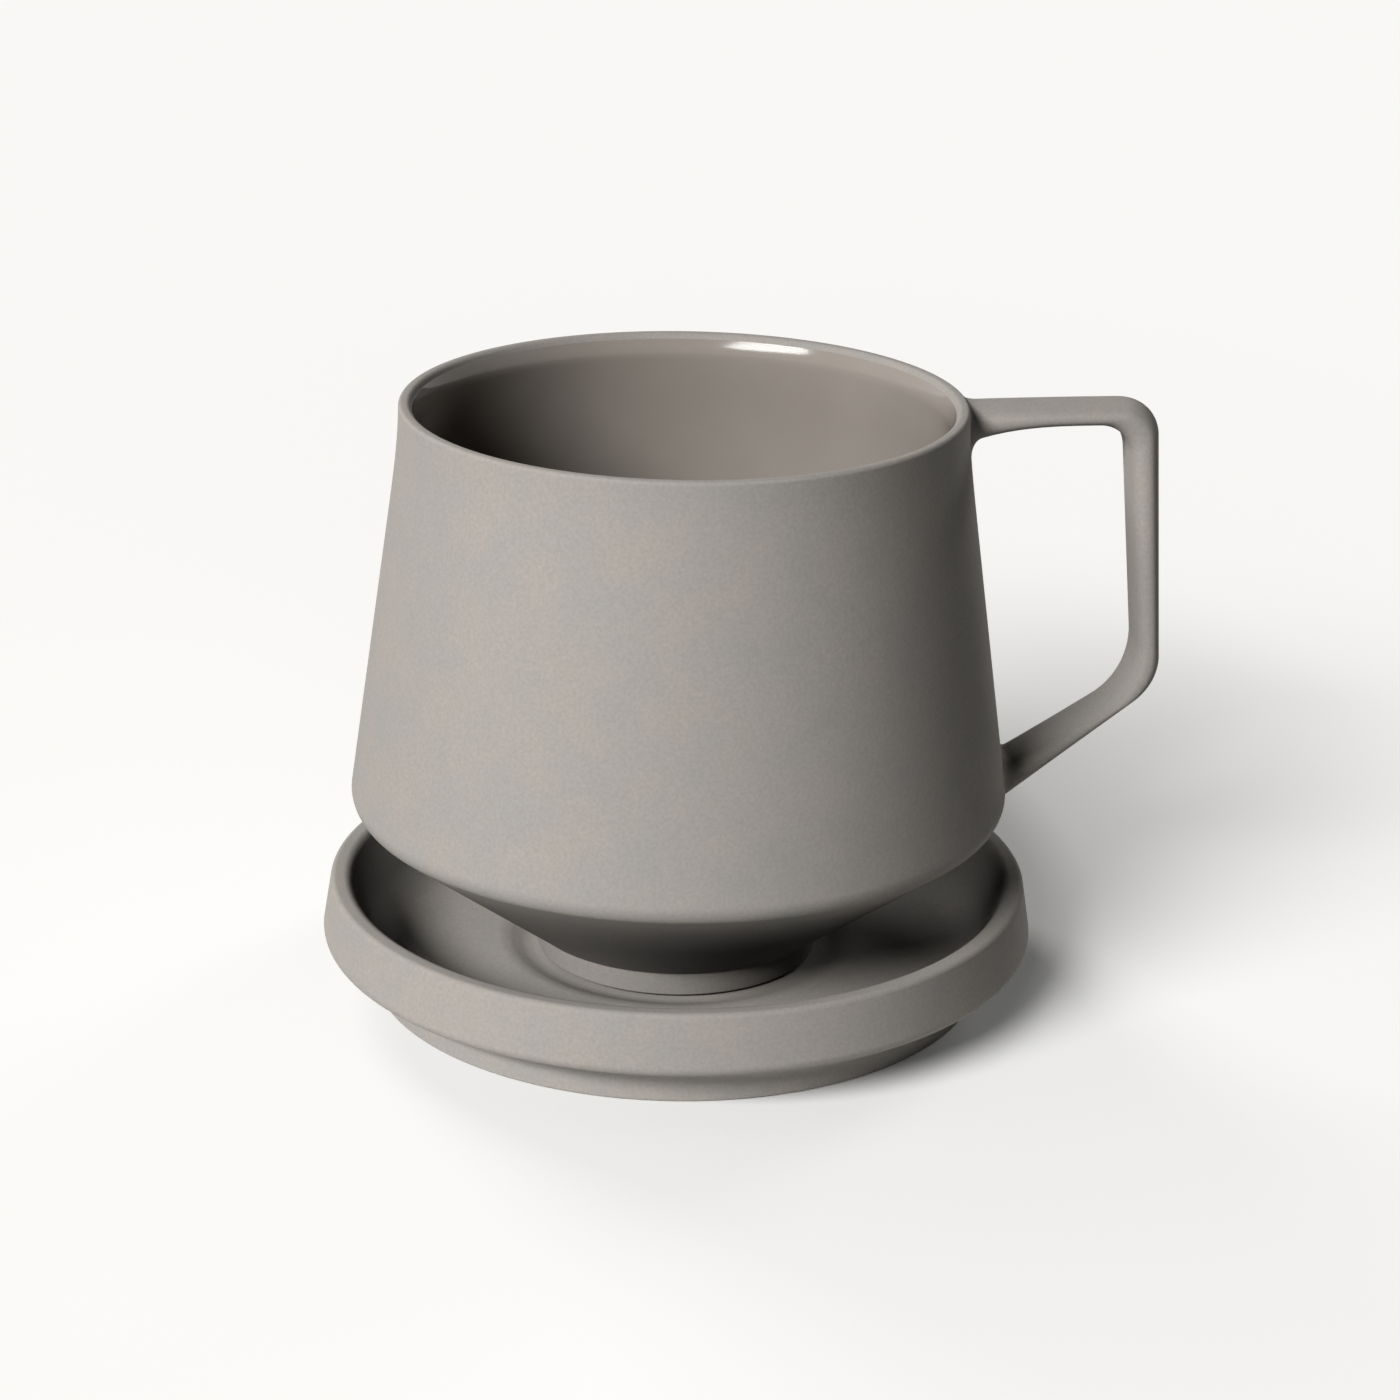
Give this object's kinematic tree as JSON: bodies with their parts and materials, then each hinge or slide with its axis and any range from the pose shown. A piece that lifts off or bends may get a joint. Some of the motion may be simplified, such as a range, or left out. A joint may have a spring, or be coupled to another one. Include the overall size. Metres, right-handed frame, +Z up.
{
  "type": "porcelain mug with saucer",
  "caption": "Flared porcelain mug with an angular strap handle, matte outside and glossy inside, standing in the well of a matching stepped saucer.",
  "frame": {"origin": "on the common axis of mug and saucer, at the table under the saucer's base ring", "axes": "+Z up along the axis of the mug, +X from the axis towards the handle, +Y across the handle"},
  "size_m": [0.1328, 0.113, 0.0947],
  "materials": {
    "matte_porcelain": "warm grey unglazed porcelain, matte, with a very fine grain",
    "inner_glaze": "glossy glaze, the same warm grey but a little deeper"
  },
  "bodies": {
    "saucer": {"saucer": "matte_porcelain"},
    "mug": {"mug_body": "matte_porcelain", "inner_glaze": "inner_glaze", "handle": "matte_porcelain"}
  },
  "joints": [
    {"name": "mug_lift", "type": "slide", "parent": "saucer", "child": "mug", "axis": [0, 0, 1], "range_m": [0, 0.1]}
  ]
}
